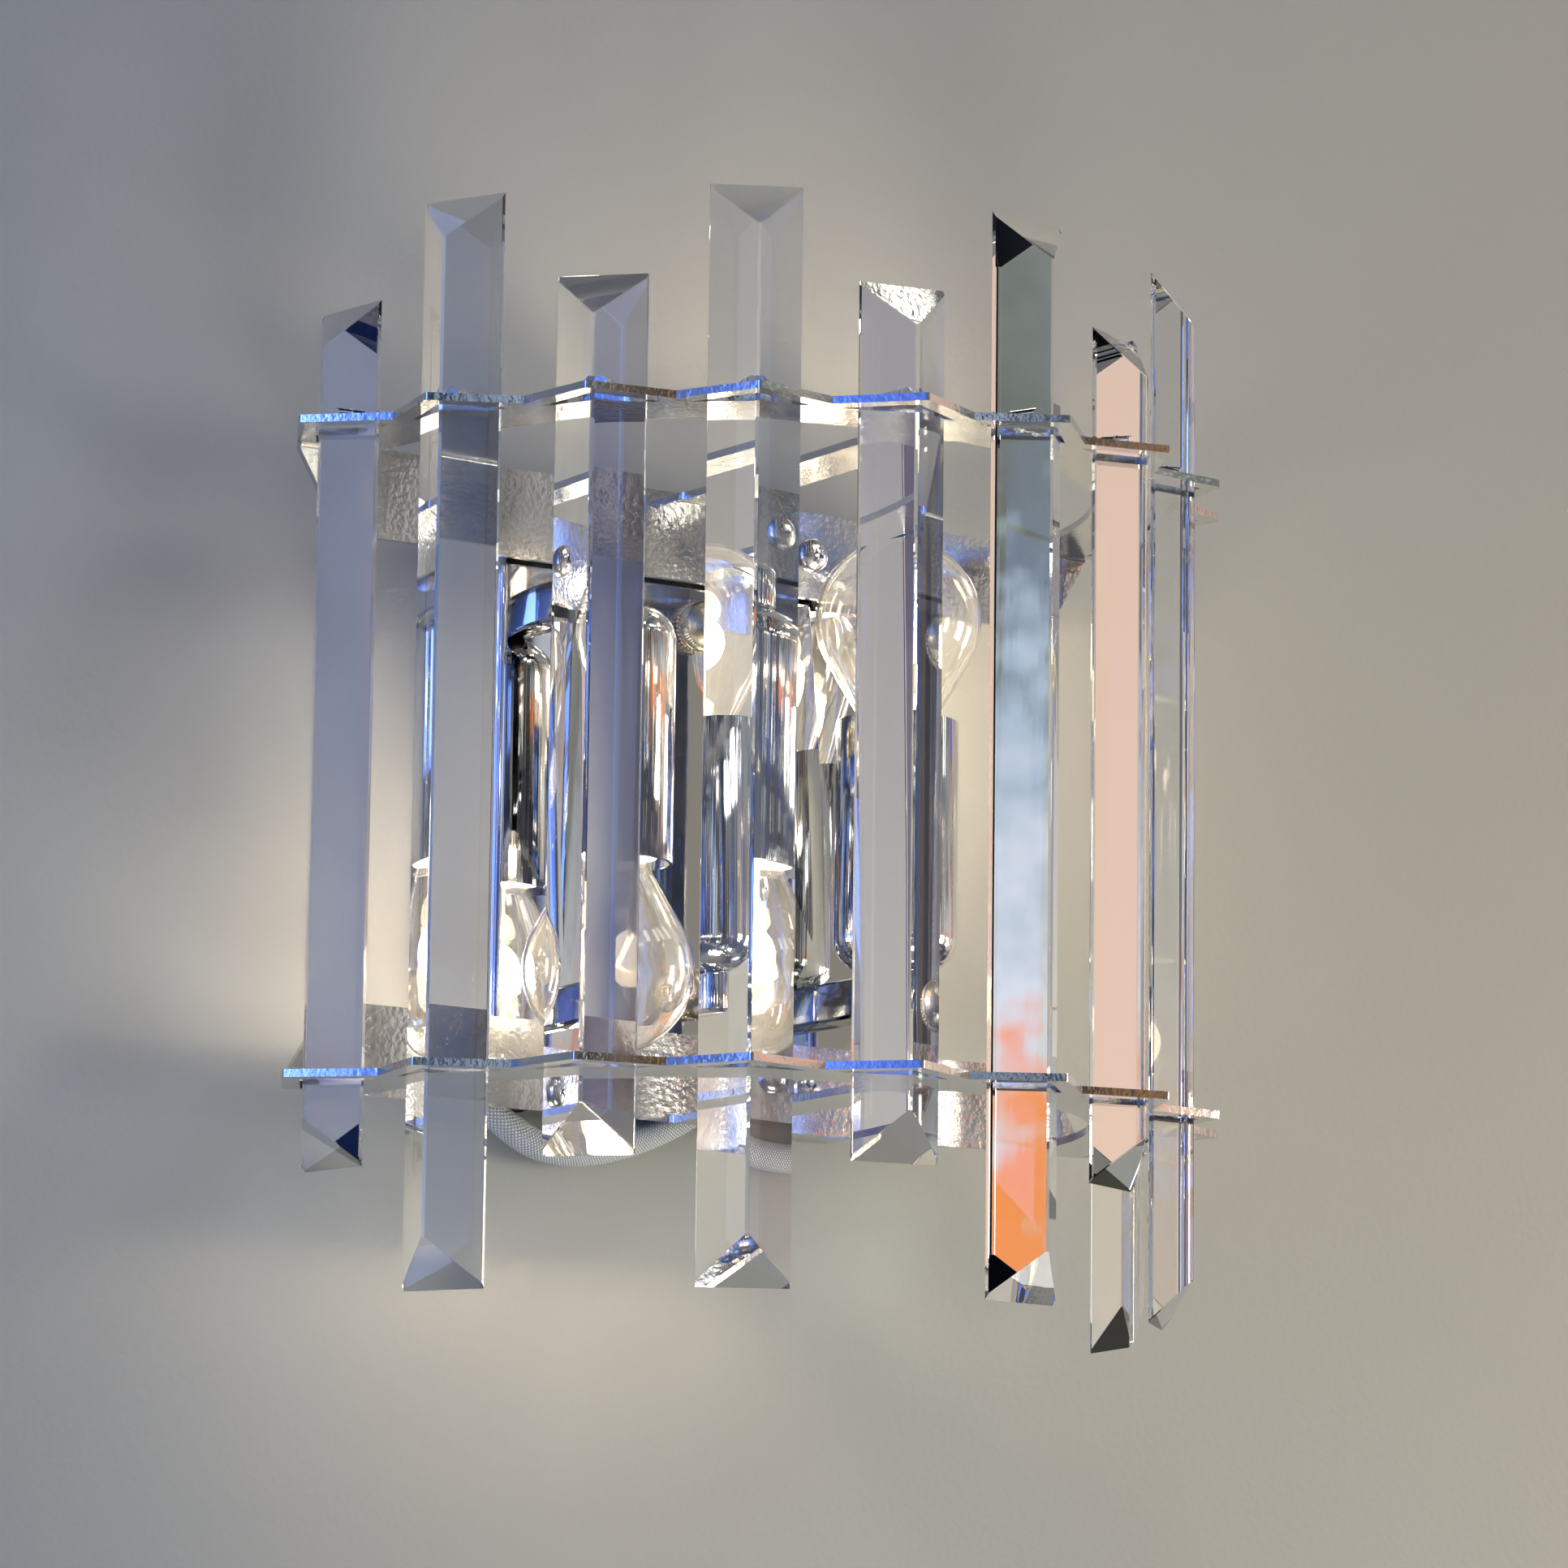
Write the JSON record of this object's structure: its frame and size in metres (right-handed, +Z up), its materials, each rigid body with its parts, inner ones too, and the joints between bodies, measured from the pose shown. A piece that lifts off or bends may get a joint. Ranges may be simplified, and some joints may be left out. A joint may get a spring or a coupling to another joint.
{
  "type": "crystal wall sconce",
  "caption": "Half-round wall light: zigzag chrome plates hold hanging cut-crystal prisms round two cup lamps on a mirror-bright back box.",
  "frame": {"origin": "middle of the wall bar's two screw holes, on the wall plane at mid-height of the light", "axes": "+Z up along the hanging prisms, +Y into the wall, so the room and the light's front are towards -Y; +X to the right as seen by someone facing the light"},
  "size_m": [0.276, 0.165, 0.28],
  "materials": {
    "frame_chrome": "polished, mirror bright",
    "box_chrome": "polished, mirror bright",
    "arm_chrome": "polished",
    "cup_chrome": "polished",
    "crystal": "clear cut crystal",
    "bulb_glass": "clear blown glass",
    "stem_glass": "clear glass",
    "plated_steel": "bright zinc plated",
    "plate_steel": "galvanised sheet",
    "nut_metal": "knurled, beaded and plated",
    "pin_steel": "bright drawn wire",
    "nipple_steel": "zinc plated thread",
    "ceramic": "white glazed ceramic",
    "brass": "stamped brass",
    "cap_metal": "nickel plated",
    "filament": "hot tungsten wire",
    "terminal": "moulded nylon",
    "braid": "braided white and grey sleeve"
  },
  "bodies": {
    "fixture": {"arm_nuts": "plated_steel", "back_box": "box_chrome", "cap_nuts": "nut_metal", "cup_nipples": "nipple_steel", "frame_nuts": "plated_steel", "frame_screws": "plated_steel", "frame_spacers": "plated_steel", "lower_arm": "arm_chrome", "lower_cup": "cup_chrome", "lower_frame": "frame_chrome", "lower_lampholder": "ceramic", "lower_socket_shell": "brass", "socket_contacts": "brass", "supply_cable": "braid", "terminal_block": "terminal", "upper_arm": "arm_chrome", "upper_cup": "cup_chrome", "upper_frame": "frame_chrome", "upper_lampholder": "ceramic", "upper_socket_shell": "brass", "wall_bar": "plate_steel", "wall_bar_studs": "plated_steel"},
    "crystal_01": {"prism_01": "crystal", "prism_pin_01": "pin_steel"},
    "crystal_02": {"prism_02": "crystal", "prism_pin_02": "pin_steel"},
    "crystal_03": {"prism_03": "crystal", "prism_pin_03": "pin_steel"},
    "crystal_04": {"prism_04": "crystal", "prism_pin_04": "pin_steel"},
    "crystal_05": {"prism_05": "crystal", "prism_pin_05": "pin_steel"},
    "crystal_06": {"prism_06": "crystal", "prism_pin_06": "pin_steel"},
    "crystal_07": {"prism_07": "crystal", "prism_pin_07": "pin_steel"},
    "crystal_08": {"prism_08": "crystal", "prism_pin_08": "pin_steel"},
    "crystal_09": {"prism_09": "crystal", "prism_pin_09": "pin_steel"},
    "crystal_10": {"prism_10": "crystal", "prism_pin_10": "pin_steel"},
    "upper_bulb": {"upper_bulb_glass": "bulb_glass", "upper_bulb_cap": "cap_metal", "upper_bulb_stem": "stem_glass", "upper_bulb_filament": "filament"},
    "lower_bulb": {"lower_bulb_glass": "bulb_glass", "lower_bulb_cap": "cap_metal", "lower_bulb_stem": "stem_glass", "lower_bulb_filament": "filament"}
  },
  "joints": [
    {"name": "crystal_01_lift", "type": "slide", "parent": "fixture", "child": "crystal_01", "axis": [0, 0, 1], "range_m": [0, 0.196]},
    {"name": "crystal_02_lift", "type": "slide", "parent": "fixture", "child": "crystal_02", "axis": [0, 0, 1], "range_m": [0, 0.228]},
    {"name": "crystal_03_lift", "type": "slide", "parent": "fixture", "child": "crystal_03", "axis": [0, 0, 1], "range_m": [0, 0.196]},
    {"name": "crystal_04_lift", "type": "slide", "parent": "fixture", "child": "crystal_04", "axis": [0, 0, 1], "range_m": [0, 0.228]},
    {"name": "crystal_05_lift", "type": "slide", "parent": "fixture", "child": "crystal_05", "axis": [0, 0, 1], "range_m": [0, 0.196]},
    {"name": "crystal_06_lift", "type": "slide", "parent": "fixture", "child": "crystal_06", "axis": [0, 0, 1], "range_m": [0, 0.228]},
    {"name": "crystal_07_lift", "type": "slide", "parent": "fixture", "child": "crystal_07", "axis": [0, 0, 1], "range_m": [0, 0.196]},
    {"name": "crystal_08_lift", "type": "slide", "parent": "fixture", "child": "crystal_08", "axis": [0, 0, 1], "range_m": [0, 0.228]},
    {"name": "crystal_09_lift", "type": "slide", "parent": "fixture", "child": "crystal_09", "axis": [0, 0, 1], "range_m": [0, 0.196]},
    {"name": "crystal_10_lift", "type": "slide", "parent": "fixture", "child": "crystal_10", "axis": [0, 0, 1], "range_m": [0, 0.228]},
    {"name": "upper_bulb_unscrew", "type": "hinge", "parent": "fixture", "child": "upper_bulb", "pos_m": [-0.045, -0.053, 0], "axis": [0, 0, -1], "range_deg": [0, 1440]},
    {"name": "lower_bulb_unscrew", "type": "hinge", "parent": "fixture", "child": "lower_bulb", "pos_m": [0.045, -0.053, 0], "axis": [0, 0, 1], "range_deg": [0, 1440]}
  ]
}
